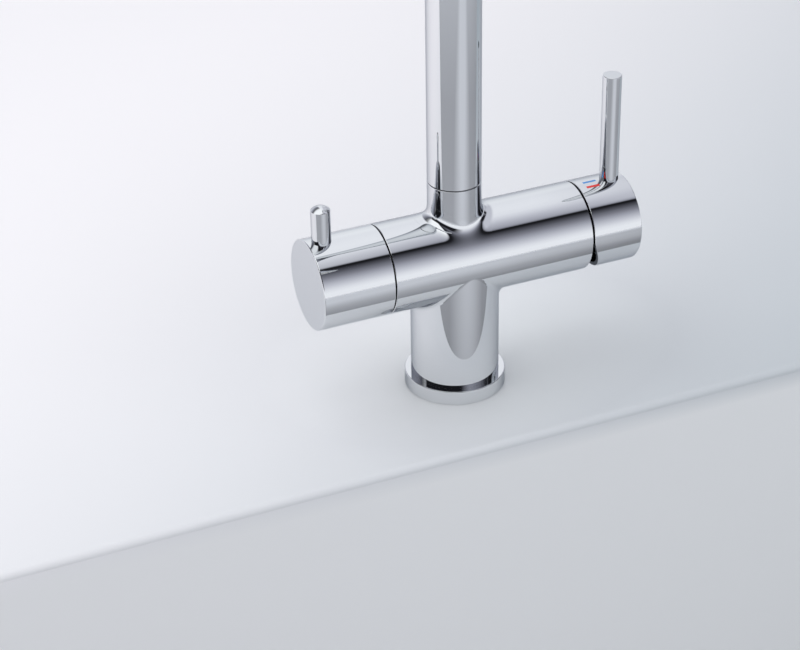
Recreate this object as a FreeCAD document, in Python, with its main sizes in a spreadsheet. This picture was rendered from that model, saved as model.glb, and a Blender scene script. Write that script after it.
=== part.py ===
import FreeCAD, Part
import math
import os
import re

import Sketcher
from FreeCAD import Placement, Rotation, Vector

# Three-way kitchen tap for mixed and filtered water: one column with a cross tube, a mixer lever
# on the right, a filter valve on the left and a tall swivelling spout.
# X runs along the cross tube, -Y is the front, Z is up, and the origin is the middle of the foot.

doc = FreeCAD.newDocument("filter_tap")

# Driving dimensions in millimetres and degrees
SIZES = {
    # Foot and column
    "column_step": 0.4,
    "column_wall": 4,
    "column_lift": 2.5,
    "ring_width": 3.4,
    "ring_height": 8,
    "ring_ledge": 2.5,
    "ring_edge": 0.5,
    "gasket_width": 3,
    "gasket_depth": 1.5,
    "gasket_inset": 1.5,
    # Cross tube of the casting
    "tube_od": 47.5,
    "tube_axis_height": 77.5,
    "body_left": 42.45,
    "body_right": 69,
    "blend_radius": 4,
    "edge_break": 0.3,
    "web_height": 46,
    # Clearances
    "thread_clearance": 0.05,
    "seat_clearance": 0.05,
    "running_clearance": 0.1,
    "loose_clearance": 0.3,
    # Hose inlets and waterways
    "inlet_bore": 9,
    "inlet_depth": 14,
    "inlet_spread": 9,
    "inlet_front": 6,
    "inlet_middle_front": 13,
    "channel_bore": 4,
    "small_channel_bore": 3,
    "waterway_drop": 9,
    "cold_rise_place": 16,
    "cold_rise_back": 6,
    "mixed_rise_place": 7.5,
    # Fixing under the mounting surface
    "stud_od": 8,
    "stud_back": 11,
    "stud_grip": 12,
    "stud_drop": 62,
    "stud_tip": 0.8,
    "clamp_gap": 30,
    "horseshoe_od": 50,
    "horseshoe_slot": 28,
    "horseshoe_slot_back": 1,
    "rubber_thickness": 3,
    "steel_thickness": 2.5,
    "fixing_nut_flats": 13,
    "fixing_nut_height": 20,
    # Mixer cartridge
    "cartridge_od": 35,
    "cartridge_depth": 42,
    "base_thickness": 6,
    "disc_recess": 2.5,
    "disc_od": 28,
    "disc_thickness": 4.5,
    "moving_disc_od": 22,
    "moving_disc_thickness": 4,
    "mixing_pocket_rim": 5.2,
    "carrier_thickness": 5,
    "rotor_od": 30,
    "rotor_length": 13.5,
    "rotor_rim": 3,
    "rotor_neck_od": 25,
    "rotor_neck_length": 8,
    "rail_thickness": 2.2,
    "rail_length": 12,
    "lip_thickness": 2,
    "port_spread": 8,
    "seal_ring_radius": 2.9,
    "seal_section": 1.6,
    "nut_od": 41,
    "nut_length": 7,
    "nut_bore": 27,
    "nut_slot_width": 4,
    "nut_slot_depth": 2.5,
    "cover_slope": 3,
    # Mixer handle, its stem and lever
    "handle_gap": 1,
    "handle_length": 27.8,
    "cap_wall": 2.2,
    "cap_end_wall": 3,
    "cap_edge": 0.6,
    "notch_angle": 18,
    "notch_depth": 20,
    "pivot_pin_od": 4,
    "pivot_pin_length": 26,
    "stem_side": 8,
    "stem_reach": 19,
    "stem_arm": 12,
    "stem_ball_od": 6,
    "stem_ball_sink": 1.05,
    "stem_waist_od": 4.4,
    "handle_hub_od": 17,
    "handle_hub_gap": 5,
    "pin_boss_od": 15,
    "pin_seat": 6.75,
    "pin_thread_od": 6,
    "pin_thread_length": 7,
    "lever_od": 10,
    "lever_rise": 59.4,
    "lever_inset": 8.2,
    "lever_edge": 0.4,
    "handle_screw_od": 5,
    "handle_screw_length": 5.5,
    "handle_screw_inset": 11,
    "plug_od": 6,
    "plug_sink": 0.25,
    "mark_length": 7.6,
    "mark_width": 1.7,
    "mark_depth": 0.6,
    "mark_start": 4.2,
    "hot_mark_lean": 11,
    # Filter valve and its knob
    "knob_gap": 0.7,
    "knob_length": 38.35,
    "valve_floor": 18,
    "valve_thread_od": 20,
    "valve_bush_length": 5,
    "valve_bush_od": 15,
    "valve_bush_bore": 9,
    "valve_disc_od": 16,
    "valve_disc_thickness": 3,
    "disc_window_bore": 3.8,
    "disc_window_offset": 2.4,
    "valve_body_inset": 4,
    "valve_flange_od": 26,
    "valve_flange_thickness": 3,
    "valve_flats": 19,
    "valve_hex_length": 8.5,
    "valve_collar_od": 14,
    "valve_collar_length": 4,
    "valve_relief_depth": 2,
    "window_width": 6,
    "window_height": 4,
    "spindle_od": 9.8,
    "spindle_drive_thickness": 2.5,
    "spindle_reach": 14,
    "spindle_seal_section": 1.5,
    "clip_thickness": 1,
    "clip_od": 13,
    "knob_hub_od": 18,
    "knob_hub_gap": 2.5,
    "filter_pin_od": 10,
    "filter_pin_rise": 19.7,
    "filter_pin_inset": 8.2,
    "filter_pin_dome": 43,
    "knob_screw_od": 4,
    "knob_screw_length": 4,
    "knob_screw_inset": 19,
    # Spout and its swivel
    "spout_od": 28,
    "spout_wall": 1.5,
    "joint_rise": 42.5,
    "slip_ring_thickness": 0.6,
    "slip_ring_sink": 0.4,
    "arc_radius": 90,
    "outlet_height": 296,
    "outlet_leg": 13,
    "socket_bore": 22.1,
    "insert_lift": 7,
    "insert_bore": 16,
    "insert_grip": 14,
    "insert_seal_section": 2,
    "insert_seal_gap": 2,
    "insert_seal_pitch": 6,
    "bush_height": 2.5,
    "bush_gap": 3.75,
    "bush_depth": 1.3,
    "stop_screw_od": 4,
    "stop_screw_drop": 8,
    "stop_slot_depth": 2,
    "stop_slot_play": 0.2,
    "stop_tip_play": 0.6,
    "swivel_each_way": 70,
    "filter_tube_od": 8,
    "filter_tube_wall": 1,
    "filter_tube_lift": 0.5,
    # Aerator
    "aerator_lip": 3,
    "aerator_lip_od": 27.2,
    "aerator_thread_length": 10,
    "aerator_bore": 21,
    "aerator_recess": 0.8,
    "aerator_insert_height": 10,
    "aerator_socket_depth": 5,
    "aerator_jet_bore": 1.8,
    "aerator_jet_circle": 15,
    "aerator_jet_count": 12,
    "aerator_seal_height": 1.5,
    "aerator_seal_bore": 17,
}

# Places that follow from the driving dimensions
PLACES = {
    "tube_radius": "tube_od / 2",
    "column_radius": "tube_radius - column_step",
    "ring_outer": "column_radius + ring_width",
    "ring_inner": "column_radius - ring_ledge",
    "spout_radius": "spout_od / 2",
    "joint_height": "tube_axis_height + joint_rise",
    "neck_top": "joint_height - slip_ring_thickness / 2",
    "spout_bottom": "joint_height + slip_ring_thickness / 2 + seat_clearance",
    "spout_bore_radius": "spout_radius - spout_wall",
    "arc_height": "outlet_height + aerator_lip + outlet_leg",
    "insert_radius": "socket_bore / 2 - running_clearance",
    "stop_height": "neck_top - stop_screw_drop",
    "stop_slot_radius": "insert_radius - stop_slot_depth",
    "stop_slot_half": "stop_screw_od / 2 + stop_slot_play",
    "seal_high": "stop_height - stop_slot_half - insert_seal_gap - insert_seal_section / 2",
    "seal_low": "seal_high - insert_seal_pitch",
    "bush_middle": "seal_low - insert_seal_section / 2 - bush_gap - bush_height / 2",
    "insert_bottom": "bush_middle - bush_height",
    "socket_floor": "insert_bottom - insert_lift",
    "filter_tube_foot": "tube_axis_height + small_channel_bore / 2 + filter_tube_lift",
    "waterway_height": "tube_axis_height - waterway_drop",
    "cold_port_height": "tube_axis_height + port_spread",
    "gasket_inner": "ring_inner + gasket_inset",
    "cap_bore_radius": "tube_radius - cap_wall",
    "mixer_floor": "body_right - cartridge_depth",
    "base_top": "mixer_floor + base_thickness",
    "disc_bottom": "base_top - disc_recess",
    "disc_top": "disc_bottom + disc_thickness",
    "carrier_bottom": "disc_top + seat_clearance + moving_disc_thickness",
    "carrier_top": "carrier_bottom + carrier_thickness",
    "rotor_bottom": "carrier_top + loose_clearance",
    "rotor_shoulder": "rotor_bottom + rotor_length",
    "lip_bottom": "rotor_shoulder + running_clearance",
    "housing_top": "lip_bottom + lip_thickness",
    "nut_top": "housing_top + nut_length",
    "handle_rim": "body_right + handle_gap",
    "handle_end": "handle_rim + handle_length",
    "handle_hub": "handle_rim + handle_hub_gap",
    "stem_ball": "carrier_top - stem_ball_sink",
    "pivot": "stem_ball + stem_arm",
    "stem_end": "body_right + stem_reach",
    "stem_foot": "stem_ball + stem_ball_od / 2",
    "lever_place": "handle_end - lever_inset",
    "handle_screw_place": "handle_rim + handle_screw_inset",
    "knob_rim": "-(body_left + knob_gap)",
    "knob_end": "knob_rim - knob_length",
    "valve_inner_end": "-(valve_floor + valve_body_inset)",
    "valve_disc_face": "-(valve_floor + valve_bush_length)",
    "valve_turning_face": "valve_disc_face - valve_disc_thickness - seat_clearance",
    "spindle_face": "valve_turning_face - valve_disc_thickness - seat_clearance",
    "spindle_shoulder": "spindle_face - spindle_drive_thickness",
    "valve_bore_end": "spindle_shoulder - loose_clearance",
    "valve_hex_start": "-(body_left + valve_flange_thickness)",
    "valve_hex_end": "valve_hex_start - valve_hex_length",
    "valve_end": "valve_hex_end - valve_collar_length",
    "clip_face": "valve_end - loose_clearance",
    "knob_hub": "valve_end - knob_hub_gap",
    "spindle_end": "valve_end - spindle_reach",
    "spindle_groove": "valve_hex_end + valve_hex_length / 2",
    "filter_pin_place": "knob_end + filter_pin_inset",
    "filter_dome_radius": "filter_pin_od / 2 / cos(filter_pin_dome)",
    "filter_dome_centre": "tube_radius + filter_pin_rise - filter_dome_radius",
    "knob_screw_place": "knob_rim - knob_screw_inset",
    "spindle_radius": "spindle_od / 2",
    "outlet_place": "-2 * arc_radius",
}

sheet = doc.addObject("Spreadsheet::Sheet", "sizes")
for row, (size_name, size) in enumerate(SIZES.items(), start=1):
    sheet.set(f"A{row}", size_name)
    sheet.set(f"B{row}", str(size))
    sheet.setAlias(f"B{row}", size_name)
doc.recompute()

sub_parts = []

# A shape's own Z axis turned to each direction
TURNED_TO = {
    "z": Rotation(),
    "x": Rotation(Vector(0, 1, 0), 90),
    "-x": Rotation(Vector(0, 1, 0), -90),
    "y": Rotation(Vector(1, 0, 0), -90),
    "-y": Rotation(Vector(1, 0, 0), 90),
    "-z": Rotation(Vector(1, 0, 0), 180),
}


def ref(expression):
    """Point every size's name at its cell and write every place out in full."""
    def cell(match):
        name = match.group(0)
        if name in PLACES:
            return f"({ref(PLACES[name])})"
        return f"sizes.{name}" if name in SIZES else name
    return re.sub(r"[a-z_]+", cell, expression)


def bind(item, **expressions):
    """Tie the named properties of an object to the sheet."""
    for name, expression in expressions.items():
        item.setExpression(name, ref(expression))


def place(item, x="0", y="0", z="0", rotation=Rotation()):
    """Put an object at a place that follows the sheet."""
    item.Placement = Placement(Vector(), rotation)
    for axis, expression in zip("xyz", (x, y, z)):
        item.setExpression(f"Placement.Base.{axis}", ref(expression))


def new_body(label, x="0", y="0", z="0"):
    """Start a sub-part."""
    body = doc.addObject("PartDesign::Body", label)
    place(body, x, y, z)
    sub_parts.append(body)
    return body


def on_tube_axis(label):
    """Start a sub-part whose own origin lies on the cross tube's axis."""
    return new_body(label, z="tube_axis_height")


def sketch_on(body, name, role):
    """Add a sketch on one of the body's own origin planes."""
    sketch = body.newObject("Sketcher::SketchObject", name)
    origin_plane = next(item for item in body.Origin.OriginFeatures if item.Role == role)
    sketch.AttachmentSupport = [(origin_plane, "")]
    sketch.MapMode = "FlatFace"
    return sketch


def outline(sketch, points):
    """Draw a closed outline whose corners follow the sheet."""
    count = len(points)
    starts = []
    for index in range(count):
        angle = 2 * math.pi * index / count
        starts.append(Vector(math.cos(angle), math.sin(angle), 0) * count)
    for index in range(count):
        sketch.addGeometry(Part.LineSegment(starts[index], starts[(index + 1) % count]))
    for index in range(count):
        sketch.addConstraint(Sketcher.Constraint("Coincident", index, 2, (index + 1) % count, 1))
    for index, corner in enumerate(points):
        for kind, expression, start in zip(("DistanceX", "DistanceY"), corner, starts[index]):
            number = sketch.addConstraint(Sketcher.Constraint(kind, index, 1, start))
            sketch.setExpression(f"Constraints[{number}]", ref(expression))


def turn(body, axis, points):
    """Turn a profile about X, as (x, radius) corners, or about Z, as (radius, z) corners."""
    sketch = sketch_on(body, f"{body.Name}_profile", "XZ_Plane")
    outline(sketch, points)
    turning = body.newObject("PartDesign::Revolution", f"{body.Name}_turning")
    turning.Profile = sketch
    turning.ReferenceAxis = (sketch, ["H_Axis" if axis == "x" else "V_Axis"])
    turning.Angle = 360
    return body


def rod(body, name, radius, length, along="z", x="0", y="0", z="0", kind="Additive"):
    """Add a round bar to a body."""
    item = body.newObject(f"PartDesign::{kind}Cylinder", name)
    bind(item, Radius=radius, Height=length)
    place(item, x, y, z, TURNED_TO[along])
    return item


def bore(body, name, radius, length, along="z", x="0", y="0", z="0"):
    """Cut a round hole into a body."""
    return rod(body, name, radius, length, along, x, y, z, kind="Subtractive")


def block(body, name, length, width, height, x="0", y="0", z="0", kind="Additive"):
    """Add a square block to a body, from its lowest corner."""
    item = body.newObject(f"PartDesign::{kind}Box", name)
    bind(item, Length=length, Width=width, Height=height)
    place(item, x, y, z)
    return item


def slot(body, name, length, width, height, x="0", y="0", z="0"):
    """Cut a square block out of a body."""
    return block(body, name, length, width, height, x, y, z, kind="Subtractive")


def hexagon(body, name, flats, length, along="z", x="0", y="0", z="0"):
    """Add a six-sided bar to a body, measured across its flats."""
    item = body.newObject("PartDesign::AdditivePrism", name)
    item.Polygon = 6
    bind(item, Circumradius=f"{flats} / sqrt(3)", Height=length)
    place(item, x, y, z, TURNED_TO[along])
    return item


def round_off(body, name, radius, chosen):
    """Round the edges that chosen picks from the edges of the body so far."""
    doc.recompute()
    base = body.Tip
    edges = base.Shape.Edges
    picked = chosen(edges)
    names = [f"Edge{index}" for index, edge in enumerate(edges, start=1)
             if any(edge.isSame(other) for other in picked)]
    fillet = body.newObject("PartDesign::Fillet", name)
    fillet.Base = (base, names)
    bind(fillet, Radius=radius)


def circles(edges):
    """The edges that are circles."""
    return [edge for edge in edges if isinstance(edge.Curve, Part.Circle)]


def outer_rim(axis, direction):
    """A choice of the widest circle at the far end of a turned piece."""
    def pick(edges):
        far = max(direction * getattr(edge.Curve.Center, axis) for edge in circles(edges))
        at_end = [edge for edge in circles(edges)
                  if abs(direction * getattr(edge.Curve.Center, axis) - far) < 1e-6]
        return [max(at_end, key=lambda edge: edge.Curve.Radius)]
    return pick


def ring_group(label, section, rings, along="z"):
    """Make a group of separate round-section rings, as (ring radius, x, y, z)."""
    links = []
    for number, (radius, x, y, z) in enumerate(rings, start=1):
        ring = doc.addObject("Part::Torus", f"{label}_ring_{number}")
        bind(ring, Radius1=radius, Radius2=f"{section} / 2")
        place(ring, x, y, z, TURNED_TO[along])
        links.append(ring)
    group = doc.addObject("Part::Compound", label)
    group.Links = links
    sub_parts.append(group)


# Body: one brass casting with the column, the cross tube and the spout's neck.
casting = new_body("tap_body")
rod(casting, "column", "column_radius", "tube_axis_height - column_lift", z="column_lift")
rod(casting, "cross_tube", "tube_radius", "body_left + body_right", "x",
    x="-body_left", z="tube_axis_height")
rod(casting, "neck", "spout_radius", "neck_top - tube_axis_height", z="tube_axis_height")
round_off(casting, "casting_blends", "blend_radius", lambda edges: [
    edge for edge in edges if not isinstance(edge.Curve, (Part.Circle, Part.Line))])
round_off(casting, "casting_edges", "edge_break", circles)

# Chambers of the casting, for the hoses, the cartridge, the filter valve and the spout
bore(casting, "hose_chamber", "column_radius - column_wall", "web_height")
bore(casting, "cartridge_chamber", "cartridge_od / 2 + running_clearance",
     "body_right - mixer_floor", "x", x="mixer_floor", z="tube_axis_height")
bore(casting, "nut_thread", "nut_od / 2 + thread_clearance", "body_right - housing_top", "x",
     x="housing_top", z="tube_axis_height")
bore(casting, "valve_thread", "valve_thread_od / 2 + thread_clearance",
     "body_left - valve_floor", "x", x="-body_left", z="tube_axis_height")
bore(casting, "spout_socket", "socket_bore / 2", "neck_top - socket_floor", z="socket_floor")
bore(casting, "filter_tube_seat", "filter_tube_od / 2 + running_clearance",
     "socket_floor - filter_tube_foot + seat_clearance", z="filter_tube_foot - seat_clearance")
bore(casting, "filter_well", "filter_tube_od / 2 - filter_tube_wall",
     "filter_tube_foot - tube_axis_height + small_channel_bore",
     z="tube_axis_height - small_channel_bore")
bore(casting, "valve_relief", "valve_thread_od / 2 + valve_relief_depth",
     "window_height - valve_turning_face - valve_floor", "-x",
     x="-valve_floor", z="tube_axis_height")

# Three hose inlets under the web, and the stud's thread
INLETS = {
    "hot": ("inlet_spread", "-inlet_front", "tube_axis_height"),
    "cold": ("0", "-inlet_middle_front", "waterway_height"),
    "filter": ("-inlet_spread", "-inlet_front", "waterway_height"),
}
for inlet, (inlet_x, inlet_y, rise_top) in INLETS.items():
    bore(casting, f"{inlet}_inlet", "inlet_bore / 2", "inlet_depth",
         x=inlet_x, y=inlet_y, z="web_height")
    bore(casting, f"{inlet}_rise", "channel_bore / 2", f"{rise_top} - web_height",
         x=inlet_x, y=inlet_y, z="web_height")
bore(casting, "stud_thread", "stud_od / 2 + thread_clearance", "stud_grip + seat_clearance",
     y="stud_back", z="web_height")

# Waterways from the inlets to the two valves, and from the valves to the spout
bore(casting, "hot_run", "channel_bore / 2", "mixer_floor - inlet_spread", "x",
     x="inlet_spread", y="-port_spread", z="tube_axis_height")
bore(casting, "cold_low_cross", "channel_bore / 2", "inlet_middle_front + cold_rise_back", "y",
     y="-inlet_middle_front", z="waterway_height")
bore(casting, "cold_low_run", "channel_bore / 2", "cold_rise_place", "x",
     y="cold_rise_back", z="waterway_height")
bore(casting, "cold_high_rise", "channel_bore / 2", "cold_port_height - waterway_height",
     x="cold_rise_place", y="cold_rise_back", z="waterway_height")
bore(casting, "cold_high_cross", "channel_bore / 2", "cold_rise_back", "y",
     x="cold_rise_place", z="cold_port_height")
bore(casting, "cold_high_run", "channel_bore / 2", "mixer_floor - cold_rise_place", "x",
     x="cold_rise_place", z="cold_port_height")
bore(casting, "mixed_run", "channel_bore / 2", "mixer_floor - mixed_rise_place", "x",
     x="mixed_rise_place", z="tube_axis_height")
bore(casting, "mixed_rise", "channel_bore / 2", "socket_floor - tube_axis_height",
     x="mixed_rise_place", z="tube_axis_height")
bore(casting, "filter_feed", "small_channel_bore / 2", "valve_floor - inlet_spread", "-x",
     x="-inlet_spread", y="-inlet_front / 2", z="tube_axis_height")
bore(casting, "filter_feed_cross", "small_channel_bore / 2", "inlet_front / 2", "y",
     x="-inlet_spread", y="-inlet_front", z="tube_axis_height")
bore(casting, "filter_feed_rise", "small_channel_bore / 2", "waterway_drop",
     x="-inlet_spread", y="-inlet_front", z="waterway_height")
bore(casting, "filter_return", "small_channel_bore / 2", "valve_floor", "-x",
     y="valve_bush_od / 2 + small_channel_bore / 2", z="tube_axis_height")
bore(casting, "filter_return_cross", "small_channel_bore / 2",
     "valve_bush_od / 2 + small_channel_bore / 2", "y", z="tube_axis_height")
bore(casting, "stop_screw_thread", "stop_screw_od / 2 + thread_clearance",
     "spout_radius", "y", z="stop_height")

# Foot ring: chromed collar that the column stands in, with the gasket's groove below.
foot = turn(new_body("base_ring"), "z", [
    ("ring_inner", "0"),
    ("gasket_inner", "0"),
    ("gasket_inner", "gasket_depth"),
    ("gasket_inner + gasket_width", "gasket_depth"),
    ("gasket_inner + gasket_width", "0"),
    ("ring_outer", "0"),
    ("ring_outer", "ring_height"),
    ("column_radius + seat_clearance", "ring_height"),
    ("column_radius + seat_clearance", "column_lift"),
    ("ring_inner", "column_lift"),
])
round_off(foot, "base_ring_edge", "ring_edge", outer_rim("z", 1))

# Gasket: flat rubber ring, flush with the foot.
turn(new_body("base_gasket"), "z", [
    ("gasket_inner + seat_clearance", "0"),
    ("gasket_inner + gasket_width - seat_clearance", "0"),
    ("gasket_inner + gasket_width - seat_clearance", "gasket_depth - seat_clearance"),
    ("gasket_inner + seat_clearance", "gasket_depth - seat_clearance"),
])

# Fixing stud: threaded steel rod screwed into the casting's web.
turn(new_body("fixing_stud", y="stud_back"), "z", [
    ("0", "-stud_drop"),
    ("stud_od / 2 - stud_tip", "-stud_drop"),
    ("stud_od / 2", "stud_tip - stud_drop"),
    ("stud_od / 2", "web_height + stud_grip - stud_tip"),
    ("stud_od / 2 - stud_tip", "web_height + stud_grip"),
    ("0", "web_height + stud_grip"),
])


def horseshoe(label, thickness, z):
    """A clamping washer, open at the front for the hoses."""
    washer = new_body(label, z=z)
    rod(washer, f"{label}_disc", "horseshoe_od / 2", thickness)
    slot(washer, f"{label}_slot", "horseshoe_slot", "horseshoe_od / 2 + horseshoe_slot_back",
         thickness, x="-horseshoe_slot / 2", y="-horseshoe_od / 2")
    bore(washer, f"{label}_hole", "stud_od / 2 + loose_clearance", thickness, y="stud_back")


# Clamp below the mounting surface: rubber and steel horseshoes, and a long nut.
horseshoe("rubber_horseshoe", "rubber_thickness", "-(clamp_gap + rubber_thickness)")
horseshoe("steel_horseshoe", "steel_thickness",
          "-(clamp_gap + rubber_thickness + steel_thickness)")
long_nut = new_body("fixing_nut", y="stud_back", z="-(clamp_gap + rubber_thickness"
                    " + steel_thickness + fixing_nut_height)")
hexagon(long_nut, "fixing_nut_bar", "fixing_nut_flats", "fixing_nut_height")
bore(long_nut, "fixing_nut_thread", "stud_od / 2 + thread_clearance", "fixing_nut_height")

# The cartridge's three ports, as (y, z) from the cross tube's axis
CARTRIDGE_PORTS = {
    "hot": ("-port_spread", "0"),
    "cold": ("0", "port_spread"),
    "mixed": ("0", "0"),
}

# Cartridge base: plastic floor with three ports, each with a recess for its seal.
cartridge_base = turn(on_tube_axis("cartridge_base"), "x", [
    ("mixer_floor", "0"),
    ("mixer_floor", "cartridge_od / 2"),
    ("base_top", "cartridge_od / 2"),
    ("base_top", "disc_od / 2 + seat_clearance"),
    ("disc_bottom", "disc_od / 2 + seat_clearance"),
    ("disc_bottom", "0"),
])
for port, (port_y, port_z) in CARTRIDGE_PORTS.items():
    bore(cartridge_base, f"{port}_port", "channel_bore / 2", "base_thickness", "x",
         x="mixer_floor", y=port_y, z=port_z)
    bore(cartridge_base, f"{port}_seal_recess",
         "seal_ring_radius + seal_section / 2 + seat_clearance", "seal_section + seat_clearance",
         "x", x="mixer_floor", y=port_y, z=port_z)

# Cartridge seals: three rubber rings between the base and the casting.
ring_group("cartridge_seals", "seal_section", [
    ("seal_ring_radius", "mixer_floor + seal_section / 2", port_y,
     f"tube_axis_height + ({port_z})")
    for port_y, port_z in CARTRIDGE_PORTS.values()], "x")

# Fixed disc: ceramic plate with the three ports, held by the base.
fixed_disc = on_tube_axis("fixed_disc")
rod(fixed_disc, "fixed_disc_blank", "disc_od / 2", "disc_thickness", "x", x="disc_bottom")
for port, (port_y, port_z) in CARTRIDGE_PORTS.items():
    bore(fixed_disc, f"{port}_disc_port", "channel_bore / 2", "disc_thickness", "x",
         x="disc_bottom", y=port_y, z=port_z)

# Moving disc: ceramic plate with a mixing pocket, which slides on the fixed disc.
moving_disc = on_tube_axis("moving_disc")
rod(moving_disc, "moving_disc_blank", "moving_disc_od / 2", "moving_disc_thickness", "x",
    x="disc_top + seat_clearance")
bore(moving_disc, "mixing_pocket", "moving_disc_od / 2 - mixing_pocket_rim",
     "moving_disc_thickness / 2", "x", x="disc_top + seat_clearance")

# Disc carrier: plastic plate behind the moving disc, with the socket for the stem's ball.
carrier = on_tube_axis("disc_carrier")
rod(carrier, "carrier_blank", "moving_disc_od / 2", "carrier_thickness", "x", x="carrier_bottom")
bore(carrier, "ball_socket", "stem_ball_od / 2 + loose_clearance",
     "carrier_top - stem_ball + stem_ball_od / 2 + loose_clearance", "x",
     x="stem_ball - stem_ball_od / 2 - loose_clearance")

# Rotor: turns in the housing for the temperature, guides the carrier and holds the pivot pin.
rotor = on_tube_axis("cartridge_rotor")
rod(rotor, "rotor_drum", "rotor_od / 2", "rotor_length", "x", x="rotor_bottom")
rod(rotor, "rotor_neck", "rotor_neck_od / 2", "rotor_neck_length", "x", x="rotor_shoulder")
for rail, rail_y in (("front", "-moving_disc_od / 2 - loose_clearance - rail_thickness"),
                     ("back", "moving_disc_od / 2 + loose_clearance")):
    block(rotor, f"{rail}_rail", "carrier_thickness + loose_clearance", "rail_thickness",
          "rail_length", x="carrier_bottom", y=rail_y, z="-rail_length / 2")
slot(rotor, "stem_slot", "rotor_length + rotor_neck_length",
     "stem_side + 2 * loose_clearance", "rotor_neck_od - 2 * rotor_rim", x="rotor_bottom",
     y="-stem_side / 2 - loose_clearance", z="rotor_rim - rotor_neck_od / 2")
bore(rotor, "pivot_hole", "pivot_pin_od / 2 + running_clearance / 2", "rotor_od", "y",
     x="pivot", y="-rotor_od / 2")

# Pivot pin: steel pin across the rotor that the stem rocks on.
pivot_pin = on_tube_axis("pivot_pin")
rod(pivot_pin, "pivot_pin_bar", "pivot_pin_od / 2", "pivot_pin_length", "y",
    x="pivot", y="-pivot_pin_length / 2")

# Cartridge housing: plastic sleeve that keeps the discs and the rotor together.
turn(on_tube_axis("cartridge_housing"), "x", [
    ("base_top", "rotor_od / 2 + running_clearance"),
    ("lip_bottom", "rotor_od / 2 + running_clearance"),
    ("lip_bottom", "rotor_neck_od / 2 + running_clearance"),
    ("housing_top", "rotor_neck_od / 2 + running_clearance"),
    ("housing_top", "cartridge_od / 2"),
    ("base_top", "cartridge_od / 2"),
])

# Cartridge nut: brass ring with four spanner slots, which clamps the housing.
cartridge_nut = turn(on_tube_axis("cartridge_nut"), "x", [
    ("housing_top", "nut_bore / 2"),
    ("housing_top", "nut_od / 2"),
    ("nut_top", "nut_od / 2"),
    ("nut_top", "nut_bore / 2"),
])
for side, slot_y, slot_z in (("upright", "nut_slot_width", "nut_od"),
                             ("level", "nut_od", "nut_slot_width")):
    slot(cartridge_nut, f"{side}_slots", "nut_slot_depth", slot_y, slot_z,
         x="nut_top - nut_slot_depth", y=f"-({slot_y}) / 2", z=f"-({slot_z}) / 2")

# Cartridge cover: dark domed ring that closes the casting's mouth below the handle.
turn(on_tube_axis("cartridge_cover"), "x", [
    ("nut_top + seat_clearance", "nut_bore / 2"),
    ("nut_top + seat_clearance", "nut_od / 2"),
    ("body_right - edge_break", "nut_od / 2"),
    ("body_right", "nut_od / 2 - cover_slope"),
    ("body_right", "nut_bore / 2"),
])

# Lever stem: square steel bar that rocks on the pivot pin, with a ball that moves the carrier.
stem = on_tube_axis("lever_stem")
block(stem, "stem_bar", "stem_end - stem_foot", "stem_side", "stem_side",
      x="stem_foot", y="-stem_side / 2", z="-stem_side / 2")
rod(stem, "stem_waist", "stem_waist_od / 2", "stem_ball_od / 2 + stem_side / 2", "x",
    x="stem_ball")
ball = stem.newObject("PartDesign::AdditiveSphere", "stem_ball_end")
bind(ball, Radius="stem_ball_od / 2")
place(ball, x="stem_ball")
bore(stem, "stem_hole", "pivot_pin_od / 2 + running_clearance / 2", "stem_side", "y",
     x="pivot", y="-stem_side / 2")


def pin_seat(body, name, x):
    """Give a cap the boss and the threaded seat that its grip pin screws into."""
    rod(body, f"{name}_boss", "pin_boss_od / 2", "cap_bore_radius", x=x)
    bore(body, f"{name}_thread", "pin_thread_od / 2 + thread_clearance",
         "pin_seat + pin_thread_length + seat_clearance", "-z", x=x, z="tube_radius")
    bore(body, f"{name}_seat", f"{name}_od / 2 + seat_clearance", "pin_seat + seat_clearance",
         "-z", x=x, z="tube_radius")


def screw_way(body, name, hub_od, x):
    """Cut a grub screw's thread through a cap's hub, and the plugged hole in its skirt."""
    bore(body, f"{name}_thread", f"{name}_od / 2 + thread_clearance", f"{hub_od} / 2 + plug_od / 2",
         "-z", x=x)
    bore(body, f"{name}_way", "plug_od / 2 + seat_clearance",
         f"tube_radius - {hub_od} / 2 - plug_od / 2", "-z", x=x, z=f"-({hub_od} / 2 + plug_od / 2)")


def mark_place(lean):
    """Where a mark's lowest corner lies once it leans round the tube by this angle."""
    floor = "(tube_radius - mark_depth)"
    return {
        "x": "handle_rim + mark_start",
        "y": f"-mark_width / 2 * cos({lean}) - {floor} * sin({lean})",
        "z": f"-mark_width / 2 * sin({lean}) + {floor} * cos({lean})",
    }


def lean(item, axis, angle):
    """Lean an object about an axis through its own origin."""
    item.Placement = Placement(item.Placement.Base, Rotation(axis, 1))
    item.setExpression("Placement.Rotation.Angle", ref(angle))


# Mixer handle: chromed cap on the stem, notched below so that it can tilt.
handle = turn(on_tube_axis("mixer_handle"), "x", [
    ("handle_rim", "cap_bore_radius"),
    ("handle_rim", "tube_radius"),
    ("handle_end", "tube_radius"),
    ("handle_end", "0"),
    ("handle_hub", "0"),
    ("handle_hub", "handle_hub_od / 2"),
    ("handle_end - cap_end_wall", "handle_hub_od / 2"),
    ("handle_end - cap_end_wall", "cap_bore_radius"),
])
round_off(handle, "handle_end_edge", "cap_edge", outer_rim("x", 1))
round_off(handle, "handle_rim_edge", "edge_break", outer_rim("x", -1))
pin_seat(handle, "lever", "lever_place")
slot(handle, "stem_seat", "stem_end - handle_hub + seat_clearance",
     "stem_side + 2 * seat_clearance", "stem_side + 2 * seat_clearance", x="handle_hub",
     y="-stem_side / 2 - seat_clearance", z="-stem_side / 2 - seat_clearance")
screw_way(handle, "handle_screw", "handle_hub_od", "handle_screw_place")
notch = slot(handle, "tilt_notch", "notch_depth", "tube_od + 2 * cap_wall", "tube_od",
             x="handle_rim", y="-tube_radius - cap_wall")
lean(notch, Vector(0, 1, 0), "180 - notch_angle")
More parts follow.
